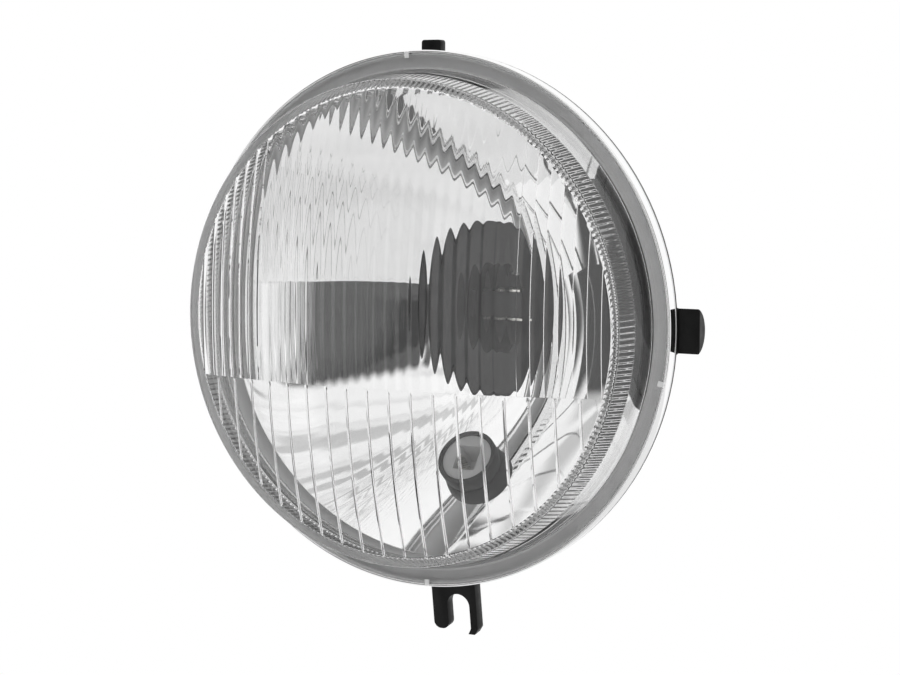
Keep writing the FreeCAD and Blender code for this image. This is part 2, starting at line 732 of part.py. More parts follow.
def make_bulb_holder():
    moulding = turned("holder_moulding", [
        ("Sizes.bore_radius", "Places.holder_front"),
        ("Places.holder_radius", "Places.holder_front"),
        ("Places.holder_radius", "Places.holder_seat"),
        ("Places.holder_flange_radius", "Places.holder_seat"),
        ("Places.holder_flange_radius", "Places.cap_start"),
        ("Places.cap_radius", "Places.cap_start"),
        ("Places.cap_radius", "Places.cap_end"),
        ("0", "Places.cap_end"),
        ("0", "Places.cap_inside"),
        ("Sizes.bore_radius", "Places.cap_inside"),
    ])
    start = "Places.cap_inside - %g" % OVERSHOOT
    end = "Places.cap_end + %g" % OVERSHOOT
    slots = []
    for name, (centre, upright) in BLADES.items():
        slots.append(blade_box(name + "_slot", centre, upright, start, end, "Sizes.blade_fit"))
    return cut("bulb_holder", moulding, fuse("blade_slots", slots))


def make_neck_gasket():
    return turned("neck_gasket", [
        ("Sizes.neck_radius", "Places.neck_end"),
        ("Places.gasket_radius", "Places.neck_end"),
        ("Places.gasket_radius", "Places.holder_seat"),
        ("Sizes.neck_radius", "Places.holder_seat"),
    ])


def make_contacts():
    """The bar across the bore and the bright strip on its upper and its lower edge."""
    box("contact_carrier", ("-Places.carrier_half", "Places.carrier_front", "-Sizes.carrier_height / 2"),
        ("2 * Places.carrier_half", "Sizes.carrier_depth", "Sizes.carrier_height"))
    depth = "Sizes.carrier_depth + Sizes.contact_nose"
    start = "Places.carrier_front - Sizes.contact_nose"
    edges = {
        "upper_contact": "Sizes.carrier_height / 2",
        "lower_contact": "-Sizes.carrier_height / 2 - Sizes.contact_thickness",
    }
    for name, low in edges.items():
        width = "Sizes.%s_width" % name
        box(name, ("-%s / 2" % width, start, low), (width, depth, "Sizes.contact_thickness"))


def make_pilot_grommet():
    """A rubber sleeve that grips the bowl's wall between two collars."""
    sleeve = fuse("grommet_sleeve", [
        pilot_rod("grommet_collar", "Places.grommet_radius", "Sizes.grommet_seat", "Sizes.grommet_reach"),
        pilot_rod("grommet_neck", "Places.grommet_neck_radius", "Places.grommet_end", "Sizes.grommet_reach"),
        pilot_rod("grommet_back_collar", "Places.grommet_back_radius", "Places.grommet_end",
                  "Places.grommet_back_front"),
    ])
    bore = pilot_rod("grommet_bore", "Places.grommet_bore_radius",
                     "Places.grommet_end - %g" % OVERSHOOT, "Sizes.grommet_reach + %g" % OVERSHOOT)
    return cut("pilot_grommet", sleeve, bore)


def pilot_strip(name, side, start, end, extra):
    """A contact strip's box beside the wedge slot, wider by extra; side is -1 or 1."""
    thickness = "Sizes.pilot_contact_thickness + 2 * (%s)" % extra
    inner = "Sizes.wedge_width / 2 - Sizes.pilot_contact_thickness - (%s)" % extra
    low = inner if side > 0 else "-(%s) - (%s)" % (inner, thickness)
    spans = (thickness, "Sizes.pilot_contact_width + 2 * (%s)" % extra, "(%s) - (%s)" % (end, start))
    return pilot_box(name, low, start, spans)


def make_pilot_socket():
    body = fuse("socket_moulding", [
        pilot_rod("socket_barrel", "Sizes.socket_radius", "Places.socket_end", "Places.socket_front"),
        pilot_rod("socket_body_rod", "Places.socket_body_radius", "Places.socket_end", "Places.grommet_end"),
    ])
    wedge = pilot_box("wedge_slot", "-Sizes.wedge_width / 2", "Places.wedge_floor",
                      ("Sizes.wedge_width", "Sizes.wedge_height", "Sizes.wedge_depth + %g" % OVERSHOOT))
    openings = [wedge]
    for name, side in SIDES.items():
        openings.append(pilot_strip(name + "_slot", side, "Places.socket_end - %g" % OVERSHOOT,
                                    "Places.wedge_floor + %g" % OVERSHOOT, "Sizes.pilot_contact_fit"))
    return cut("pilot_socket", body, fuse("socket_openings", openings))


def make_pilot_contacts():
    for name, side in SIDES.items():
        pilot_strip(name, side, "Places.socket_end - Sizes.pilot_contact_tail",
                    "Places.socket_front - Sizes.pilot_contact_inset", "0")


make_reflector()
make_front_lens()
make_lens_sealant()
make_mounting_ring()
make_bulb_holder()
make_neck_gasket()
make_contacts()
for terminal in BLADES:
    make_terminal(terminal)
make_pilot_grommet()
make_pilot_socket()
make_pilot_contacts()
doc.recompute()

for made in doc.Objects:
    if "Invalid" in made.State or "Error" in made.State:
        raise RuntimeError("%s could not be made: %s" % (made.Label, made.State))

os.makedirs("parts", exist_ok=True)
for node in NODES:
    shape = doc.getObject(node).Shape
    if shape.isNull() or not shape.isValid() or len(shape.Solids) != 1:
        raise RuntimeError("%s is not one sound solid" % node)
    shape.exportStep("parts/%s.step" % node)
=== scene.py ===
import math

import bmesh
import bpy
from mathutils import Matrix, Vector


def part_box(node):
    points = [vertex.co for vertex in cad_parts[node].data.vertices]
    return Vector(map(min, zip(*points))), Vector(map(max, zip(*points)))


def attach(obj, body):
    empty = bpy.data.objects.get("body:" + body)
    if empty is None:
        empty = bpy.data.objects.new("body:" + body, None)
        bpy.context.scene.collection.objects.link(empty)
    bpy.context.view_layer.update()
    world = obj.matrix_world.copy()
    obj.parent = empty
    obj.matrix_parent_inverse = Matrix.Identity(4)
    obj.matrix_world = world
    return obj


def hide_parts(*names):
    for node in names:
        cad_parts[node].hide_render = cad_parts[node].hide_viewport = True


# Headlight reflector insert: the fluted glass lens and the bright bowl are modelled here as smooth meshes,
# and the smaller mouldings take the solids' own shape with eased edges.
# Metres. The lamp axis is Y, with the lens towards -Y; the pivot axis is X; Z is up.

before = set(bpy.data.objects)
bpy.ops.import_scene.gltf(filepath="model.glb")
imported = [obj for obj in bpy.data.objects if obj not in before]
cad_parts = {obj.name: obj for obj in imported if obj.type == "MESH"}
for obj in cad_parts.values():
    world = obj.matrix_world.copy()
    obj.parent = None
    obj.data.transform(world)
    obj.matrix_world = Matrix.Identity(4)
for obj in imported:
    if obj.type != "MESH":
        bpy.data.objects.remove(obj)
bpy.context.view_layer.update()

# The rim's lip, in front of the pivot axis; depths below are measured from it
LIP = -0.0041
# Bright bowl and rim
RIM_RADIUS = 0.0750
SHEET = 0.0008
RIM_BACK = LIP + 0.0045
MOUTH_RADIUS = 0.0682
SKIRT_DRAFT = 0.0004
FOCUS = 0.0275
BOWL_WALL = 0.0014
NECK_RADIUS = 0.0260
NECK_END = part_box("reflector")[1].y
BACK_CORNER = 0.0003
LIP_INNER = RIM_RADIUS - SHEET
CHANNEL_FLOOR = RIM_BACK - SHEET
BOWL_EDGE = CHANNEL_FLOOR + 0.0070
BOWL_EDGE_RADIUS = MOUTH_RADIUS - SKIRT_DRAFT
BOWL_VERTEX = BOWL_EDGE + BOWL_EDGE_RADIUS ** 2 / (4 * FOCUS)
# Pilot lamp hole
PILOT_DROP = 0.0455
PILOT_HOLE = 0.00835
# Glass lens
FLANGE_FRONT = LIP + 0.0003
FLANGE_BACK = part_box("front_lens")[1].y
FLANGE_RADIUS = 0.0737
WALL_FOOT = 0.0699
DOME_EDGE = 0.0668
DOME_EDGE_DEPTH = LIP - 0.0154
DOME_RADIUS = 0.2050
DOME_WALL = 0.0035
LENS_WALL = 0.0033
EDGE_ROUND = 0.0012
FOOT_ROUND = 0.0008
BACK_ROUND = 0.0003
WALL_SLOPE = (WALL_FOOT - DOME_EDGE) / (FLANGE_FRONT - DOME_EDGE_DEPTH)
DOME_CENTRE = math.sqrt(DOME_RADIUS ** 2 - DOME_EDGE ** 2) + DOME_EDGE_DEPTH
RIDGE_RADIUS = DOME_RADIUS - DOME_WALL
CAVITY_FOOT = WALL_FOOT + WALL_SLOPE * (FLANGE_BACK - FLANGE_FRONT) - LENS_WALL
# The lip's three small tabs over the lens flange: angles, and their section's radius and depth
CRIMP_ANGLES = (93.0, -10.7, -88.0)
CRIMP_WIDTH = 0.0014
CRIMP_LOW = (FLANGE_RADIUS - 0.0008, FLANGE_FRONT - 0.00065)
CRIMP_HIGH = (RIM_RADIUS - SHEET / 2, FLANGE_FRONT - 0.00005)
# Flutes and ribs inside the lens
SPLIT = -0.0167
FINE_PITCH = 0.00362
FINE_DEPTH = 0.00008
FINE_FLUTES_EACH_SIDE = 11
FINE_REACH = FINE_FLUTES_EACH_SIDE * FINE_PITCH
SIDE_DEPTH = 0.00012
SIDE_STEP = 0.0005
RIB_PITCH = 0.00658
RIB_WIDTH = 0.0008
RIB_HEIGHT = 0.00032
RIB_FADE = 0.0012
PANE_DEPTH = 0.00025
CORNER_STRIP = 0.0003
# Knurl on the lens's inner wall
KNURL_TEETH = 264
KNURL_DEPTH = 0.00018
KNURL_START = LIP - 0.0050
KNURL_LAND = 0.0005
# The knurl's swing from a groove's bottom to a tooth's crest, in groove depths
KNURL_SWING = 1.5
# How far edges are eased
STRIP_EASE = 0.0001
SOCKET_EASE = 0.0002
MOULDING_EASE = 0.0003
HOLDER_EASE = 0.0004

# How finely the meshes are divided
COLUMNS = 360
CORNER_STEPS = 6
DOME_STEPS = 40
BOWL_STEPS = 72
BOWL_BACK_STEPS = 48
HOLE_STEPS = 96
FLUTE_STEPS = 12
FLUTE_ROWS = 40
PANE_STEPS = 24
PANE_ROWS = 28
TOOTH_STEPS = 8
TOOTH_ROWS = 12
EASE_STEPS = 2
# Rounds of reckoning for the place where the lens's inner wall meets its inner dome
MEETING_ROUNDS = 8
# Edges sharper than this stay sharp, and points nearer than the weld are one
SHARP = math.radians(35)
WELD = 1e-6
# Mouldings: faces flatter than FLAT are joined, edges sharper than EDGE are eased, and then EASED_SHARP holds
FLAT = math.radians(0.5)
EDGE = math.radians(30)
EASED_SHARP = math.radians(50)
# A share of a flute, which puts its first column of vertices surely inside it
SLIGHT = 1e-4

# Finishes: lumps of a pattern in a metre, and pairs of values for its low and high ends
PATTERN_SPAN = (0.3, 0.7)
SHADE_SPAN = (0.35, 0.65)
SLOW_DETAIL = 2.0
# Bright plating
HAZE_LUMPS = 90
HAZE_LEVELS = (0.955, 0.985)
PLATING_LUMPS = 260
PLATING_ROUGH = (0.01, 0.03)
WAVE_LUMPS = 45
WAVE_HEIGHT = 0.0002
WAVE_STRENGTH = 0.09
# The bowl's skirt and the tabs: added roughness, lack of plating, and how much painted shade darkens the
# skirt towards its inner edge
SKIRT_SATIN = 0.4
SKIRT_PALE = 0.9
SKIRT_PAINTED_SHADE = 0.45
# The bowl's bare back: how far it has to face backwards, added roughness, and how much darker it is
BACK_FACING = (0.02, 0.1)
BACK_SATIN = 0.3
BACK_SHADE = 0.45
# Pressed glass
GLASS_INDEX = 1.5
TINT_LUMPS = 30
TINT_LEVELS = (0.994, 1.0)
RIPPLE_LUMPS = 70
RIPPLE_HEIGHT = 0.0002
RIPPLE_STRENGTH = 0.03
# Mouldings
SHADE_LUMPS = 160
GLOSS_LUMPS = 400
GLOSS_SWING = 0.08
GRAIN_STRENGTH = 0.5
# Tin-plated strips, with rolling marks drawn out along Y
ROLLING_STRETCH = (1.0, 0.08, 1.0)
ROLLING_LUMPS = 2500
ROLLING_HEIGHT = 0.00002
ROLLING_STRENGTH = 0.4
TIN_DARK = (0.68, 0.67, 0.63)
TIN_LIGHT = (0.8, 0.79, 0.75)
TIN_ROUGH = (0.18, 0.34)

# Camera at the photograph's place; its sensor and lens are in millimetres
CAMERA_DISTANCE = 0.600
CAMERA_AZIMUTH = math.radians(28.54)
CAMERA_ELEVATION = math.radians(5.12)
FOCAL_PIXELS = 2152.0
IMAGE_WIDTH = 900
IMAGE_HEIGHT = 675
LIP_PIXEL = (419.3, 320.7)
SENSOR_WIDTH = 36.0
NEAREST_SEEN = 0.01

# Studio: a pale table with its front edge towards the camera, in a white room
TABLE_DROP = 0.25
TABLE_FRONT = 0.82
TABLE_BACK = 0.45
TABLE_LEFT = 0.33
TABLE_RIGHT = 1.4
TABLE_LUMPS = 6
TABLE_LEVELS = (0.86, 0.88)
TABLE_ROUGH = 0.7
# The share of plain white that the camera sees on the table, and its level
TABLE_WHITE_SHARE = 0.75
TABLE_WHITE = 1.05
# Dark openings in the room: azimuth, then half width, bottom, top and softness as slopes
FRONT_OPENING = (math.radians(36), 0.404, -0.70, 0.554, 0.06)
SIDE_OPENING = (math.radians(-32), 0.22, -0.9, 0.32, 0.03)
# Slopes are reckoned from directions that go at least this far ahead, and openings fade out beside it
LEAST_AHEAD = 0.01
AHEAD_FADE = (0.0, 0.05)
DARK_LEVEL = 0.07
ROOM_LEVEL = 1.0
# Soft grey bars high in the room: how dark they are, the slopes where they start, their slant and how far
# ahead they lie, then their spacing, detail and soft edges
BAR_DEPTH = 0.4
BAR_START = (0.55, 0.7)
BAR_SLANT = 0.3
BAR_AHEAD = (0.1, 0.3)
BAR_SCALE = 3.6
BAR_DETAIL = 1.0
BAR_EDGE = (0.45, 0.6)


class Number:
    """A value inside a node tree, for writing formulas."""

    def __init__(self, tree, socket):
        self.tree = tree
        self.socket = socket

    def __add__(self, other):
        return calc(self.tree, "ADD", self, other)

    def __sub__(self, other):
        return calc(self.tree, "SUBTRACT", self, other)

    def __rsub__(self, other):
        return calc(self.tree, "SUBTRACT", other, self)

    def __mul__(self, other):
        return calc(self.tree, "MULTIPLY", self, other)

    def __truediv__(self, other):
        return calc(self.tree, "DIVIDE", self, other)

    def __rtruediv__(self, other):
        return calc(self.tree, "DIVIDE", other, self)


def calc(tree, operation, *values):
    """One math node, fed by numbers of the tree or plain numbers."""
    node = tree.nodes.new("ShaderNodeMath")
    node.operation = operation
    for socket, value in zip(node.inputs, values):
        if isinstance(value, Number):
            tree.links.new(value.socket, socket)
        else:
            socket.default_value = value
    return Number(tree, node.outputs[0])


def square_root(value):
    """The square root, with values below 0 taken as 0."""
    return calc(value.tree, "SQRT", calc(value.tree, "MAXIMUM", value, 0.0))


def least(first, second):
    """The smaller of two values."""
    return calc(first.tree, "MINIMUM", first, second)


def most(first, second):
    """The larger of two values."""
    return calc(first.tree, "MAXIMUM", first, second)


def step_between(value, start, end):
    """0 before start, 1 after end, with a soft step between them."""
    node = value.tree.nodes.new("ShaderNodeMapRange")
    node.interpolation_type = "SMOOTHSTEP"
    node.inputs["From Min"].default_value = start
    node.inputs["From Max"].default_value = end
    value.tree.links.new(value.socket, node.inputs["Value"])
    return Number(value.tree, node.outputs["Result"])


def along(tree, direction, axis):
    """How far a direction goes along an axis."""
    node = tree.nodes.new("ShaderNodeVectorMath")
    node.operation = "DOT_PRODUCT"
    tree.links.new(direction, node.inputs[0])
    node.inputs[1].default_value = axis
    return Number(tree, node.outputs["Value"])


def start_tree(name, floats, integers):
    """A geometry tree with named inputs; returns it and its inputs as numbers."""
    tree = bpy.data.node_groups.new(name, "GeometryNodeTree")
    for title in floats:
        tree.interface.new_socket(name=title, in_out="INPUT", socket_type="NodeSocketFloat")
    for title in integers:
        tree.interface.new_socket(name=title, in_out="INPUT", socket_type="NodeSocketInt")
    tree.interface.new_socket(name="Finish", in_out="INPUT", socket_type="NodeSocketMaterial")
    tree.interface.new_socket(name="Mesh", in_out="OUTPUT", socket_type="NodeSocketGeometry")
    entry = tree.nodes.new("NodeGroupInput")
    values = {title: Number(tree, entry.outputs[title]) for title in floats + integers}
    return tree, entry, values


def unit_grid(tree, across, up):
    """A grid with these numbers of vertices; returns it, and each vertex's place in it from 0 to 1."""
    grid = tree.nodes.new("GeometryNodeMeshGrid")
    grid.inputs["Size X"].default_value = 1.0
    grid.inputs["Size Y"].default_value = 1.0
    tree.links.new(across.socket, grid.inputs["Vertices X"])
    tree.links.new(up.socket, grid.inputs["Vertices Y"])
    position = tree.nodes.new("GeometryNodeInputPosition")
    parts = tree.nodes.new("ShaderNodeSeparateXYZ")
    tree.links.new(position.outputs["Position"], parts.inputs["Vector"])
    u = Number(tree, parts.outputs["X"]) + 0.5
    v = Number(tree, parts.outputs["Y"]) + 0.5
    return grid, u, v


def end_tree(tree, entry, grid, x, y, z):
    """Move the grid's vertices to their places, weld them and give the mesh its finish."""
    places = tree.nodes.new("ShaderNodeCombineXYZ")
    for axis, value in zip("XYZ", (x, y, z)):
        tree.links.new(value.socket, places.inputs[axis])
    move = tree.nodes.new("GeometryNodeSetPosition")
    weld = tree.nodes.new("GeometryNodeMergeByDistance")
    weld.inputs["Distance"].default_value = WELD
    realize = tree.nodes.new("GeometryNodeRealizeInstances")
    finish = tree.nodes.new("GeometryNodeSetMaterial")
    exit_node = tree.nodes.new("NodeGroupOutput")
    tree.links.new(grid.outputs["Mesh"], move.inputs["Geometry"])
    tree.links.new(places.outputs["Vector"], move.inputs["Position"])
    tree.links.new(move.outputs["Geometry"], weld.inputs["Geometry"])
    tree.links.new(weld.outputs["Geometry"], realize.inputs["Geometry"])
    tree.links.new(realize.outputs["Geometry"], finish.inputs["Geometry"])
    tree.links.new(entry.outputs["Finish"], finish.inputs["Material"])
    tree.links.new(finish.outputs["Geometry"], exit_node.inputs["Mesh"])
    return tree


def field_places(size, x, share_up):
    """The height of each vertex of a field, between its level lines or its circle."""
    chord = square_root(size["Edge Radius"] * size["Edge Radius"] - x * x)
    low = most(size["Low"], chord * -1.0)
    high = least(size["High"], chord)
    return low + (high - low) * share_up


def dome_depth(size, x, z, hollow):
    """The depth of the inner dome at a place, hollowed out by an amount."""
    swing = square_root(size["Ridge Radius"] * size["Ridge Radius"] - x * x) + hollow
    return size["Dome Centre"] - square_root(swing * swing - z * z)


def fluted_field_tree():
    """Flutes that run up and down the inside of a dome, wavy in the middle and leaning at the sides."""
    floats = ("Pitch", "Reach", "Edge Radius", "Low", "High", "Ridge Radius", "Dome Centre",
              "Fine Reach", "Fine Depth", "Side Depth", "Side Step")
    tree, entry, size = start_tree("fluted_field", floats, ("Flutes", "Steps", "Rows"))
    grid, u, v = unit_grid(tree, size["Flutes"] * size["Steps"] + 1.0, size["Rows"] + 1.0)
    raw = (u - 0.5) * size["Flutes"] * size["Pitch"]
    x = most(least(raw, size["Reach"]), size["Reach"] * -1.0)
    z = field_places(size, x, v)
    share = calc(tree, "FRACT", x / size["Pitch"] + size["Flutes"] * 0.5 + SLIGHT)
    off_middle = calc(tree, "ABSOLUTE", share - 0.5)
    arch = 1.0 - off_middle * off_middle * 4.0
    crest = 1.0 - off_middle * off_middle * 8.0
    trough = (0.5 - off_middle) * (0.5 - off_middle) * 8.0
    on_crest = calc(tree, "LESS_THAN", off_middle, 0.25)
    wave = on_crest * crest + (1.0 - on_crest) * trough
    fine = calc(tree, "LESS_THAN", calc(tree, "ABSOLUTE", x), size["Fine Reach"])
    on_right = calc(tree, "GREATER_THAN", x, 0.0)
    lean = on_right * (1.0 - share) + (1.0 - on_right) * share
    side = size["Side Depth"] * arch + size["Side Step"] * lean
    hollow = fine * size["Fine Depth"] * wave + (1.0 - fine) * side
    return end_tree(tree, entry, grid, x, dome_depth(size, x, z, hollow), z)


def ribbed_field_tree():
    """Plain panes on the inside of a dome with thin round ribs between them, which fade out at the top."""
    floats = ("Pitch", "Reach", "Edge Radius", "Low", "High", "Ridge Radius", "Dome Centre",
              "Rib Width", "Rib Height", "Rib Fade", "Pane Depth")
    tree, entry, size = start_tree("ribbed_field", floats, ("Panes", "Steps", "Rows"))
    grid, u, v = unit_grid(tree, size["Panes"] * size["Steps"] + 1.0, size["Rows"] + 1.0)
    panes_across = u * size["Panes"]
    within = calc(tree, "FRACT", panes_across)
    eased = 0.5 - calc(tree, "COSINE", within * math.pi) * 0.5
    raw = (panes_across - within + eased - size["Panes"] * 0.5) * size["Pitch"]
    x = most(least(raw, size["Reach"]), size["Reach"] * -1.0)
    z = field_places(size, x, 1.0 - (1.0 - v) * (1.0 - v))
    share = calc(tree, "FRACT", x / size["Pitch"] + size["Panes"] * 0.5)
    from_rib = least(share, 1.0 - share) * size["Pitch"] * 2.0 / size["Rib Width"]
    rib = most(1.0 - from_rib * from_rib, 0.0)
    fade = least((size["High"] - z) / size["Rib Fade"], 1.0)
    hollow = size["Pane Depth"] - rib * fade * size["Rib Height"]
    return end_tree(tree, entry, grid, x, dome_depth(size, x, z, hollow), z)


def knurled_wall_tree():
    """A tapered wall with narrow-landed grooves along it, which end a little inside its edges."""
    floats = ("Foot Radius", "Foot", "Slope", "Start", "End", "Depth", "Ramp")
    tree, entry, size = start_tree("knurled_wall", floats, ("Teeth", "Steps", "Rows"))
    across = size["Teeth"] * size["Steps"] + 1.0
    grid, u, v = unit_grid(tree, across, size["Rows"] + 1.0)
    eased = 0.5 - calc(tree, "COSINE", v * math.pi) * 0.5
    low = size["Start"] + size["Ramp"]
    high = size["End"] - size["Ramp"]
    y = low + (high - low) * eased
    share = calc(tree, "FRACT", u * size["Teeth"] + 0.5 / size["Steps"])
    off_middle = calc(tree, "ABSOLUTE", share * 2.0 - 1.0)
    groove = 1.0 - off_middle * KNURL_SWING
    inside = least(low - y, y - high) / size["Ramp"]
    level = most(least(inside, 1.0), 0.0)
    radius = size["Foot Radius"] - size["Slope"] * (size["Foot"] - y) + groove * level * size["Depth"]
    angle = u * (2 * math.pi)
    x = radius * calc(tree, "COSINE", angle)
    z = radius * calc(tree, "SINE", angle)
    return end_tree(tree, entry, grid, x, y, z)


def made_by_nodes(name, tree, values):
    """The plain mesh that a geometry tree makes from these named values."""
    maker = bpy.data.objects.new(name, bpy.data.meshes.new(name))
    bpy.context.scene.collection.objects.link(maker)
    modifier = maker.modifiers.new(name, "NODES")
    modifier.node_group = tree
    for item in tree.interface.items_tree:
        if item.in_out == "INPUT":
            modifier[item.identifier] = values[item.name]
    return plain_mesh(maker)


def plain_mesh(maker):
    """The evaluated mesh of an object with modifiers; the object itself goes."""
    graph = bpy.context.evaluated_depsgraph_get()
    mesh = bpy.data.meshes.new_from_object(maker.evaluated_get(graph))
    bpy.data.objects.remove(maker)
    return mesh


def rounded_corners(corners):
    """A profile's points; a corner given with a radius becomes an arc."""
    points = []
    for index, (radius, depth, *bend) in enumerate(corners):
        here = Vector((radius, depth))
        if not bend or index in (0, len(corners) - 1):
            points.append(here)
            continue
        back = (Vector(corners[index - 1][:2]) - here).normalized()
        ahead = (Vector(corners[index + 1][:2]) - here).normalized()
        half = back.angle(ahead) / 2
        reach = bend[0] / math.tan(half)
        centre = here + (back + ahead).normalized() * (bend[0] / math.sin(half))
        start = here + back * reach - centre
        sweep = start.angle_signed(here + ahead * reach - centre)
        for step in range(CORNER_STEPS + 1):
            turn = Matrix.Rotation(-sweep * step / CORNER_STEPS, 2)
            points.append(centre + turn @ start)
    return points


def turn_profile(bm, points, columns):
    """Faces of a profile turned about Y; returns its rings of vertices. A point on the axis is a pole."""
    rings = []
    for radius, depth in points:
        if radius < WELD:
            rings.append([bm.verts.new((0, depth, 0))])
            continue
        angles = [2 * math.pi * step / columns for step in range(columns)]
        rings.append([bm.verts.new((radius * math.cos(a), depth, radius * math.sin(a))) for a in angles])
    for ring, after in zip(rings, rings[1:]):
        for step in range(columns):
            nxt = (step + 1) % columns
            corners = [ring[step % len(ring)], ring[nxt % len(ring)],
                       after[nxt % len(after)], after[step % len(after)]]
            bm.faces.new(list(dict.fromkeys(corners)))
    return rings


def zip_rows(bm, first, second, place, closed=False):
    """Triangles between two rows of vertices, both sorted by their place along the row."""
    one = sorted(first, key=place)
    two = sorted(second, key=place)
    ends = [(place(v), 0, v) for v in one[1:]] + [(place(v), 1, v) for v in two[1:]]
    ends.sort(key=lambda entry: entry[0])
    if closed:
        ends += [(None, 0, one[0]), (None, 1, two[0])]
    now = [one[0], two[0]]
    for _, side, vertex in ends:
        bm.faces.new((now[0], now[1], vertex))
        now[side] = vertex


def angle_of(vertex):
    """A vertex's angle about the lamp axis."""
    return math.atan2(vertex.co.z, vertex.co.x)


def radius_of(vertex):
    """A vertex's distance from the lamp axis."""
    return math.hypot(vertex.co.x, vertex.co.z)


def close(first, second):
    """Whether two measures agree within the weld."""
    return abs(first - second) < WELD


def finished_object(name, mesh, material, slot, *nodes):
    """Put a finished mesh into the scene as a piece that stands for CAD nodes."""
    mesh.materials.clear()
    mesh.materials.append(material)
    piece = bpy.data.objects.new(name, mesh)
    bpy.context.scene.collection.objects.link(piece)
    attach(piece, "root")
    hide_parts(*nodes)
    return piece


def smooth_mesh(bm, name, sharp=SHARP):
    """Turn a closed bmesh into a mesh that is smooth apart from its sharp edges."""
    bmesh.ops.recalc_face_normals(bm, faces=bm.faces)
    mesh = bpy.data.meshes.new(name)
    bm.to_mesh(mesh)
    bm.free()
    mesh.shade_smooth()
    mesh.set_sharp_from_angle(angle=sharp)
    return mesh


def inner_edge():
    """Radius and depth of the circle where the lens's inner wall meets its inner dome."""
    radius = DOME_EDGE
    for _ in range(MEETING_ROUNDS):
        depth = DOME_CENTRE - math.sqrt(RIDGE_RADIUS ** 2 - radius ** 2)
        radius = CAVITY_FOOT - WALL_SLOPE * (FLANGE_BACK - depth)
    return radius, depth


def make_front_lens(glass):
    """Domed glass with a plain outside, a fluted and knurled inside and a flange."""
    edge_radius, edge_depth = inner_edge()
    field_radius = edge_radius - CORNER_STRIP
    shared = {
        "Edge Radius": field_radius,
        "Ridge Radius": RIDGE_RADIUS,
        "Dome Centre": DOME_CENTRE,
        "Finish": glass,
    }
    upper = made_by_nodes("upper_flutes", fluted_field_tree(), {
        **shared, "Pitch": FINE_PITCH, "Reach": field_radius, "Low": SPLIT, "High": field_radius,
        "Fine Reach": FINE_REACH, "Fine Depth": FINE_DEPTH, "Side Depth": SIDE_DEPTH, "Side Step": SIDE_STEP,
        "Flutes": 2 * math.ceil(field_radius / FINE_PITCH), "Steps": FLUTE_STEPS,
        "Rows": FLUTE_ROWS,
    })
    half_split = math.sqrt(field_radius ** 2 - SPLIT ** 2)
    lower = made_by_nodes("lower_panes", ribbed_field_tree(), {
        **shared, "Pitch": RIB_PITCH, "Reach": half_split, "Low": -field_radius, "High": SPLIT,
        "Rib Width": RIB_WIDTH, "Rib Height": RIB_HEIGHT, "Rib Fade": RIB_FADE, "Pane Depth": PANE_DEPTH,
        "Panes": 2 * math.ceil(half_split / RIB_PITCH) + 1, "Steps": PANE_STEPS, "Rows": PANE_ROWS,
    })
    knurl_end = edge_depth + KNURL_LAND
    wall = made_by_nodes("knurled_wall", knurled_wall_tree(), {
        "Foot Radius": CAVITY_FOOT, "Foot": FLANGE_BACK, "Slope": WALL_SLOPE, "Start": KNURL_START,
        "End": knurl_end, "Depth": KNURL_DEPTH, "Ramp": KNURL_LAND / 4,
        "Teeth": KNURL_TEETH, "Steps": TOOTH_STEPS, "Rows": TOOTH_ROWS, "Finish": glass,
    })
    bm = bmesh.new()
    bm.from_mesh(upper)
    upper_count = len(bm.verts)
    bm.from_mesh(lower)
    bm.verts.ensure_lookup_table()
    upper_row = [v for v in bm.verts[:upper_count] if close(v.co.z, SPLIT)]
    lower_row = [v for v in bm.verts[upper_count:] if close(v.co.z, SPLIT)]
    field_rim = [v for v in bm.verts if v.is_boundary and close(radius_of(v), field_radius)]
    zip_rows(bm, upper_row, lower_row, lambda v: v.co.x)
    before = len(bm.verts)
    bm.from_mesh(wall)
    bm.verts.ensure_lookup_table()
    wall_rim = [v for v in bm.verts[before:] if v.is_boundary]
    wall_top = [v for v in wall_rim if v.co.y < (KNURL_START + knurl_end) / 2]
    wall_foot = [v for v in wall_rim if v.co.y > (KNURL_START + knurl_end) / 2]
    zip_rows(bm, field_rim, wall_top, angle_of, closed=True)
    land_edge = KNURL_START + KNURL_LAND / 2
    dome = []
    for step in range(DOME_STEPS):
        radius = DOME_EDGE * step / DOME_STEPS
        dome.append((radius, DOME_CENTRE - math.sqrt(DOME_RADIUS ** 2 - radius ** 2)))
    rings = turn_profile(bm, rounded_corners(dome + [
        (DOME_EDGE, DOME_EDGE_DEPTH, EDGE_ROUND),
        (WALL_FOOT, FLANGE_FRONT, FOOT_ROUND),
        (FLANGE_RADIUS, FLANGE_FRONT, FOOT_ROUND),
        (FLANGE_RADIUS, FLANGE_BACK, BACK_ROUND),
        (CAVITY_FOOT, FLANGE_BACK),
        (CAVITY_FOOT - WALL_SLOPE * (FLANGE_BACK - land_edge), land_edge),
    ]), COLUMNS)
    zip_rows(bm, wall_foot, rings[-1], angle_of, closed=True)
    rim = [edge for edge in bm.edges if edge.is_boundary]
    bmesh.ops.holes_fill(bm, edges=rim)
    mesh = smooth_mesh(bm, "front_lens_glass")
    return finished_object("lens", mesh, glass, "lens_glass", "front_lens")


def parabola_depth(radius, vertex):
    """The depth of the bowl's curve at a radius."""
    return vertex - radius ** 2 / (4 * FOCUS)


def parabola_points(start, end, vertex, steps):
    """Points along the bowl's curve between two radii."""
    radii = [start + (end - start) * step / steps for step in range(steps + 1)]
    return [(radius, parabola_depth(radius, vertex)) for radius in radii]


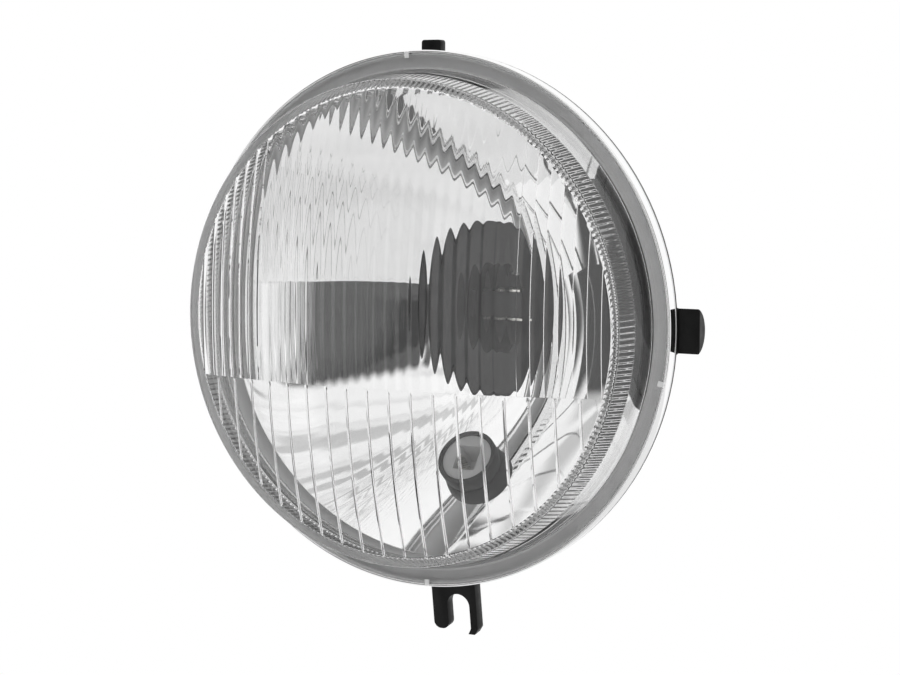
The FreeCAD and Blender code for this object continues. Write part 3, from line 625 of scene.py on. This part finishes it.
def cutting_rod(radius, centre, direction, length):
    """A closed rod for a boolean cut."""
    bm = bmesh.new()
    turn = direction.to_track_quat("Z", "Y").to_matrix().to_4x4()
    bmesh.ops.create_cone(bm, cap_ends=True, segments=HOLE_STEPS, radius1=radius, radius2=radius,
                          depth=length, matrix=Matrix.Translation(centre) @ turn)
    return bm


def crimp_blocks():
    """The lip's three small tabs, pressed in over the lens flange."""
    bm = bmesh.new()
    middle = Vector(((CRIMP_LOW[0] + CRIMP_HIGH[0]) / 2, (CRIMP_LOW[1] + CRIMP_HIGH[1]) / 2, 0))
    spans = (CRIMP_HIGH[0] - CRIMP_LOW[0], CRIMP_HIGH[1] - CRIMP_LOW[1], CRIMP_WIDTH)
    for angle in CRIMP_ANGLES:
        turn = Matrix.Rotation(-math.radians(angle), 4, "Y")
        place = turn @ Matrix.Translation(middle) @ Matrix.Diagonal((*spans, 1))
        bmesh.ops.create_cube(bm, size=1, matrix=place)
    return bm


def boolean(piece, operation, tool_bm):
    """Cut a shape from a piece, or join it on."""
    mesh = bpy.data.meshes.new("tool")
    tool_bm.to_mesh(mesh)
    tool_bm.free()
    tool = bpy.data.objects.new("tool", mesh)
    bpy.context.scene.collection.objects.link(tool)
    modifier = piece.modifiers.new(operation, "BOOLEAN")
    modifier.operation = operation
    modifier.solver = "EXACT"
    modifier.object = tool
    return tool


def make_bowl(bright):
    """Bright pressed bowl with its rim, neck, crimped tabs and the pilot lamp's hole."""
    back_vertex = BOWL_VERTEX + BOWL_WALL
    lip_round = SHEET / 2 - WELD
    front = parabola_points(NECK_RADIUS, BOWL_EDGE_RADIUS, BOWL_VERTEX, BOWL_STEPS)
    back = parabola_points(BOWL_EDGE_RADIUS + SHEET, NECK_RADIUS + SHEET, back_vertex, BOWL_BACK_STEPS)
    profile = rounded_corners(front + [
        (MOUTH_RADIUS, CHANNEL_FLOOR),
        (LIP_INNER, CHANNEL_FLOOR),
        (LIP_INNER, LIP, lip_round),
        (RIM_RADIUS, LIP, lip_round),
        (RIM_RADIUS, RIM_BACK, BACK_CORNER),
        (MOUTH_RADIUS + SHEET, RIM_BACK),
    ] + back + [
        (NECK_RADIUS + SHEET, NECK_END),
        (NECK_RADIUS, NECK_END),
        front[0],
    ])
    bm = bmesh.new()
    turn_profile(bm, profile, COLUMNS)
    bmesh.ops.remove_doubles(bm, verts=bm.verts, dist=WELD)
    mesh = smooth_mesh(bm, "bowl_shell")
    shell = bpy.data.objects.new("bowl_shell", mesh)
    bpy.context.scene.collection.objects.link(shell)
    seat = Vector((0, parabola_depth(PILOT_DROP, BOWL_VERTEX), -PILOT_DROP))
    outwards = Vector((0, -1, PILOT_DROP / (2 * FOCUS))).normalized()
    tools = [
        boolean(shell, "UNION", crimp_blocks()),
        boolean(shell, "DIFFERENCE", cutting_rod(PILOT_HOLE, seat, outwards, 4 * PILOT_HOLE)),
    ]
    made = plain_mesh(shell)
    for tool in tools:
        bpy.data.objects.remove(tool)
    made.shade_smooth()
    made.set_sharp_from_angle(angle=SHARP)
    return finished_object("bowl", made, bright, "bright_steel", "reflector")


def make_eased(name, node, ease, material, slot):
    """A moulding with the solid's own shape and eased edges."""
    bm = bmesh.new()
    bm.from_mesh(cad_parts[node].data)
    bmesh.ops.remove_doubles(bm, verts=bm.verts, dist=WELD)
    bmesh.ops.dissolve_limit(bm, angle_limit=FLAT, verts=bm.verts, edges=bm.edges)
    mesh = smooth_mesh(bm, name + "_shape", EDGE)
    maker = bpy.data.objects.new(name + "_shape", mesh)
    bpy.context.scene.collection.objects.link(maker)
    bevel = maker.modifiers.new("ease", "BEVEL")
    bevel.width = ease
    bevel.segments = EASE_STEPS
    bevel.limit_method = "ANGLE"
    bevel.angle_limit = EDGE
    made = plain_mesh(maker)
    made.shade_smooth()
    made.set_sharp_from_angle(angle=EASED_SHARP)
    return finished_object(name, made, material, slot, node)


def grey(level):
    """A neutral colour of this level."""
    return (level, level, level)


def start_finish(name):
    """A material with its shader and the piece's own coordinates."""
    material = bpy.data.materials.new(name)
    material.use_nodes = True
    tree = material.node_tree
    shader = tree.nodes["Principled BSDF"]
    place = tree.nodes.new("ShaderNodeTexCoord").outputs["Object"]
    return material, tree, shader, place


def grain(tree, place, scale, detail=4.0):
    """A noise pattern; scale is in lumps for each metre."""
    noise = tree.nodes.new("ShaderNodeTexNoise")
    noise.inputs["Scale"].default_value = scale
    noise.inputs["Detail"].default_value = detail
    tree.links.new(place, noise.inputs["Vector"])
    return noise.outputs["Fac"]


def spread(tree, pattern, low, high):
    """The pattern as a number between two values."""
    ramp = tree.nodes.new("ShaderNodeMapRange")
    ramp.inputs["From Min"].default_value = PATTERN_SPAN[0]
    ramp.inputs["From Max"].default_value = PATTERN_SPAN[1]
    ramp.inputs["To Min"].default_value = low
    ramp.inputs["To Max"].default_value = high
    tree.links.new(pattern, ramp.inputs["Value"])
    return ramp.outputs["Result"]


def shades(tree, pattern, dark, light):
    """The pattern as a colour between two shades."""
    ramp = tree.nodes.new("ShaderNodeValToRGB")
    ramp.color_ramp.elements[0].position = SHADE_SPAN[0]
    ramp.color_ramp.elements[0].color = (*dark, 1)
    ramp.color_ramp.elements[1].position = SHADE_SPAN[1]
    ramp.color_ramp.elements[1].color = (*light, 1)
    tree.links.new(pattern, ramp.inputs["Fac"])
    return ramp.outputs["Color"]


def raise_surface(tree, shader, pattern, height, strength):
    """Give the surface a fine relief."""
    bump = tree.nodes.new("ShaderNodeBump")
    bump.inputs["Strength"].default_value = strength
    bump.inputs["Distance"].default_value = height
    tree.links.new(pattern, bump.inputs["Height"])
    tree.links.new(bump.outputs["Normal"], shader.inputs["Normal"])


def bright_finish():
    """Mirror-bright plating with a faint haze and slow waves, a satin skirt and tabs, painted shade that
    darkens the skirt towards the bowl's edge, and a bare back.
    """
    material, tree, shader, place = start_finish("bright_plating")
    haze = grain(tree, place, HAZE_LUMPS)
    depth = Number(tree, tree.nodes.new("ShaderNodeSeparateXYZ").outputs["Y"])
    tree.links.new(place, depth.socket.node.inputs["Vector"])
    skirt = step_between(depth, CHANNEL_FLOOR - BACK_CORNER, CHANNEL_FLOOR)
    skirt = skirt * (1.0 - step_between(depth, BOWL_EDGE - BACK_CORNER, BOWL_EDGE + BACK_CORNER))
    # Painted shade: the skirt's colour grows darker from the channel floor back to the bowl's edge, deep
    # behind the lens flange
    edge = skirt * step_between(depth, CHANNEL_FLOOR, BOWL_EDGE)
    facing = tree.nodes.new("ShaderNodeNewGeometry").outputs["Normal"]
    back = step_between(along(tree, facing, (0, 1, 0)), *BACK_FACING)
    level = Number(tree, spread(tree, haze, *HAZE_LEVELS)) * (1.0 - edge * SKIRT_PAINTED_SHADE)
    level = level * (1.0 - back * BACK_SHADE)
    tree.links.new(level.socket, shader.inputs["Base Color"])
    mirror = Number(tree, spread(tree, grain(tree, place, PLATING_LUMPS), *PLATING_ROUGH))
    satin = skirt + (1.0 - step_between(depth, CRIMP_LOW[1], LIP))
    tree.links.new((mirror + satin * SKIRT_SATIN + back * BACK_SATIN).socket, shader.inputs["Roughness"])
    tree.links.new((1.0 - satin * SKIRT_PALE).socket, shader.inputs["Metallic"])
    waves = grain(tree, place, WAVE_LUMPS, SLOW_DETAIL)
    raise_surface(tree, shader, waves, WAVE_HEIGHT, WAVE_STRENGTH)
    return material


def glass_finish():
    """Clear pressed glass with a faint ripple."""
    material, tree, shader, place = start_finish("pressed_glass")
    shader.inputs["Transmission Weight"].default_value = 1.0
    shader.inputs["IOR"].default_value = GLASS_INDEX
    shader.inputs["Roughness"].default_value = 0.0
    tint = grain(tree, place, TINT_LUMPS)
    tree.links.new(shades(tree, tint, *map(grey, TINT_LEVELS)), shader.inputs["Base Color"])
    ripple = grain(tree, place, RIPPLE_LUMPS, SLOW_DETAIL)
    raise_surface(tree, shader, ripple, RIPPLE_HEIGHT, RIPPLE_STRENGTH)
    return material


def moulded_finish(name, dark, light, rough, grain_size, height, shine=0.5):
    """Moulded plastic or rubber with a fine grain and small changes of shade and gloss."""
    material, tree, shader, place = start_finish(name)
    tree.links.new(shades(tree, grain(tree, place, SHADE_LUMPS), dark, light), shader.inputs["Base Color"])
    shader.inputs["Specular IOR Level"].default_value = shine
    gloss = spread(tree, grain(tree, place, GLOSS_LUMPS), rough - GLOSS_SWING, rough + GLOSS_SWING)
    tree.links.new(gloss, shader.inputs["Roughness"])
    raise_surface(tree, shader, grain(tree, place, 1 / grain_size), height, GRAIN_STRENGTH)
    return material


def tinned_finish():
    """Tin-plated brass strip with rolling marks."""
    material, tree, shader, place = start_finish("tinned_strip")
    shader.inputs["Metallic"].default_value = 1.0
    stretch = tree.nodes.new("ShaderNodeMapping")
    stretch.inputs["Scale"].default_value = ROLLING_STRETCH
    tree.links.new(place, stretch.inputs["Vector"])
    marks = grain(tree, stretch.outputs["Vector"], ROLLING_LUMPS)
    tree.links.new(shades(tree, marks, TIN_DARK, TIN_LIGHT), shader.inputs["Base Color"])
    tree.links.new(spread(tree, marks, *TIN_ROUGH), shader.inputs["Roughness"])
    raise_surface(tree, shader, marks, ROLLING_HEIGHT, ROLLING_STRENGTH)
    return material


def make_pieces():
    """All the finishes, and each piece with its finish."""
    glass = glass_finish()
    bright = bright_finish()
    black = moulded_finish("black_moulding", grey(0.004), grey(0.007),
                           rough=0.4, grain_size=0.0005, height=0.00003, shine=0.15)
    thermoset = moulded_finish("dark_thermoset", grey(0.045), grey(0.07),
                               rough=0.45, grain_size=0.0006, height=0.00003)
    rubber = moulded_finish("black_rubber", grey(0.018), grey(0.03),
                            rough=0.6, grain_size=0.0008, height=0.00004)
    sealant = moulded_finish("grey_sealant", grey(0.82), grey(0.88),
                             rough=0.55, grain_size=0.0012, height=0.00006)
    socket_grey = moulded_finish("grey_moulding", grey(0.58), grey(0.64),
                                 rough=0.42, grain_size=0.0005, height=0.00003)
    tinned = tinned_finish()
    make_bowl(bright)
    make_front_lens(glass)
    make_eased("bead", "lens_sealant", STRIP_EASE, sealant, "sealant")
    make_eased("black_ring", "mounting_ring", MOULDING_EASE, black, "black_plastic")
    make_eased("holder", "bulb_holder", HOLDER_EASE, thermoset, "holder_plastic")
    make_eased("carrier", "contact_carrier", MOULDING_EASE, thermoset, "holder_plastic")
    make_eased("gasket", "neck_gasket", MOULDING_EASE, rubber, "gasket_rubber")
    make_eased("grommet", "pilot_grommet", MOULDING_EASE, rubber, "grommet_rubber")
    make_eased("pilot_holder", "pilot_socket", SOCKET_EASE, socket_grey, "socket_plastic")
    strips = ("upper_contact", "lower_contact", "dip_terminal", "main_terminal", "earth_terminal",
              "pilot_contact_left", "pilot_contact_right")
    for strip in strips:
        make_eased(strip + "_strip", strip, STRIP_EASE, tinned, "tinned_brass")


def make_camera():
    """The camera, aimed so that the lip's middle falls on its place in the photograph."""
    data = bpy.data.cameras.new("camera")
    camera = bpy.data.objects.new("camera", data)
    bpy.context.scene.collection.objects.link(camera)
    bpy.context.scene.camera = camera
    level = math.cos(CAMERA_ELEVATION)
    towards = Vector((math.sin(CAMERA_AZIMUTH) * level, -math.cos(CAMERA_AZIMUTH) * level,
                      math.sin(CAMERA_ELEVATION)))
    camera.location = Vector((0, LIP, 0)) + towards * CAMERA_DISTANCE
    camera.rotation_euler = (-towards).to_track_quat("-Z", "Y").to_euler()
    data.sensor_width = SENSOR_WIDTH
    data.lens = FOCAL_PIXELS * SENSOR_WIDTH / IMAGE_WIDTH
    data.shift_x = (IMAGE_WIDTH / 2 - LIP_PIXEL[0]) / IMAGE_WIDTH
    data.shift_y = (LIP_PIXEL[1] - IMAGE_HEIGHT / 2) / IMAGE_WIDTH
    data.clip_start = NEAREST_SEEN


def dark_opening(tree, direction, opening):
    """How far a direction lies in a dark opening of the room, and its place across and above its middle."""
    azimuth, half_width, bottom, top, soft = opening
    ahead = along(tree, direction, (math.sin(azimuth), -math.cos(azimuth), 0))
    right = along(tree, direction, (math.cos(azimuth), math.sin(azimuth), 0))
    in_front = most(ahead, LEAST_AHEAD)
    across = right / in_front
    rise = along(tree, direction, (0, 0, 1)) / in_front
    inside = 1.0 - step_between(calc(tree, "ABSOLUTE", across), half_width - soft, half_width + soft)
    inside = inside * step_between(rise, bottom - soft, bottom)
    inside = inside * (1.0 - step_between(rise, top - soft, top + soft))
    return inside * step_between(ahead, *AHEAD_FADE), across, rise


def make_room():
    """White for the camera; elsewhere a white room with two dark openings and soft bars high up."""
    world = bpy.data.worlds.new("studio")
    bpy.context.scene.world = world
    world.use_nodes = True
    tree = world.node_tree
    direction = tree.nodes.new("ShaderNodeTexCoord").outputs["Generated"]
    dark, across, rise = dark_opening(tree, direction, FRONT_OPENING)
    side_dark, _, _ = dark_opening(tree, direction, SIDE_OPENING)
    bars = tree.nodes.new("ShaderNodeTexNoise")
    bars.noise_dimensions = "1D"
    bars.inputs["Scale"].default_value = BAR_SCALE
    bars.inputs["Detail"].default_value = BAR_DETAIL
    tree.links.new((rise + across * BAR_SLANT).socket, bars.inputs["W"])
    bar = step_between(Number(tree, bars.outputs["Fac"]), *BAR_EDGE) * step_between(rise, *BAR_START)
    ahead = along(tree, direction, (math.sin(FRONT_OPENING[0]), -math.cos(FRONT_OPENING[0]), 0))
    bar = bar * step_between(ahead, *BAR_AHEAD)
    level = ROOM_LEVEL - most(dark, side_dark) * (ROOM_LEVEL - DARK_LEVEL)
    level = level * (1.0 - bar * BAR_DEPTH)
    camera_ray = Number(tree, tree.nodes.new("ShaderNodeLightPath").outputs["Is Camera Ray"])
    strength = level + camera_ray * (1.0 - level)
    tree.links.new(strength.socket, tree.nodes["Background"].inputs["Strength"])
    tree.nodes["Background"].inputs["Color"].default_value = (1, 1, 1, 1)


def make_table():
    """A white table top below the lamp, which keeps the lamp's soft shadow."""
    bm = bmesh.new()
    middle = Vector(((TABLE_RIGHT - TABLE_LEFT) / 2, (TABLE_BACK - TABLE_FRONT) / 2, -TABLE_DROP))
    spans = Matrix.Diagonal((TABLE_LEFT + TABLE_RIGHT, TABLE_BACK + TABLE_FRONT, 1, 1))
    turn = Matrix.Rotation(CAMERA_AZIMUTH, 4, "Z")
    bmesh.ops.create_grid(bm, x_segments=1, y_segments=1, size=0.5,
                          matrix=turn @ Matrix.Translation(middle) @ spans)
    mesh = bpy.data.meshes.new("table_top")
    bm.to_mesh(mesh)
    bm.free()
    material, tree, shader, place = start_finish("white_table")
    clouds = grain(tree, place, TABLE_LUMPS)
    tree.links.new(shades(tree, clouds, *map(grey, TABLE_LEVELS)), shader.inputs["Base Color"])
    shader.inputs["Roughness"].default_value = TABLE_ROUGH
    white = tree.nodes.new("ShaderNodeEmission")
    white.inputs["Strength"].default_value = TABLE_WHITE
    mix = tree.nodes.new("ShaderNodeMixShader")
    camera_ray = Number(tree, tree.nodes.new("ShaderNodeLightPath").outputs["Is Camera Ray"])
    tree.links.new((camera_ray * TABLE_WHITE_SHARE).socket, mix.inputs["Fac"])
    tree.links.new(shader.outputs["BSDF"], mix.inputs[1])
    tree.links.new(white.outputs["Emission"], mix.inputs[2])
    tree.links.new(mix.outputs["Shader"], tree.nodes["Material Output"].inputs["Surface"])
    mesh.materials.append(material)
    table = bpy.data.objects.new("table_top", mesh)
    bpy.context.scene.collection.objects.link(table)


bpy.context.scene.view_settings.view_transform = "Standard"
make_camera()
make_room()
make_table()
make_pieces()
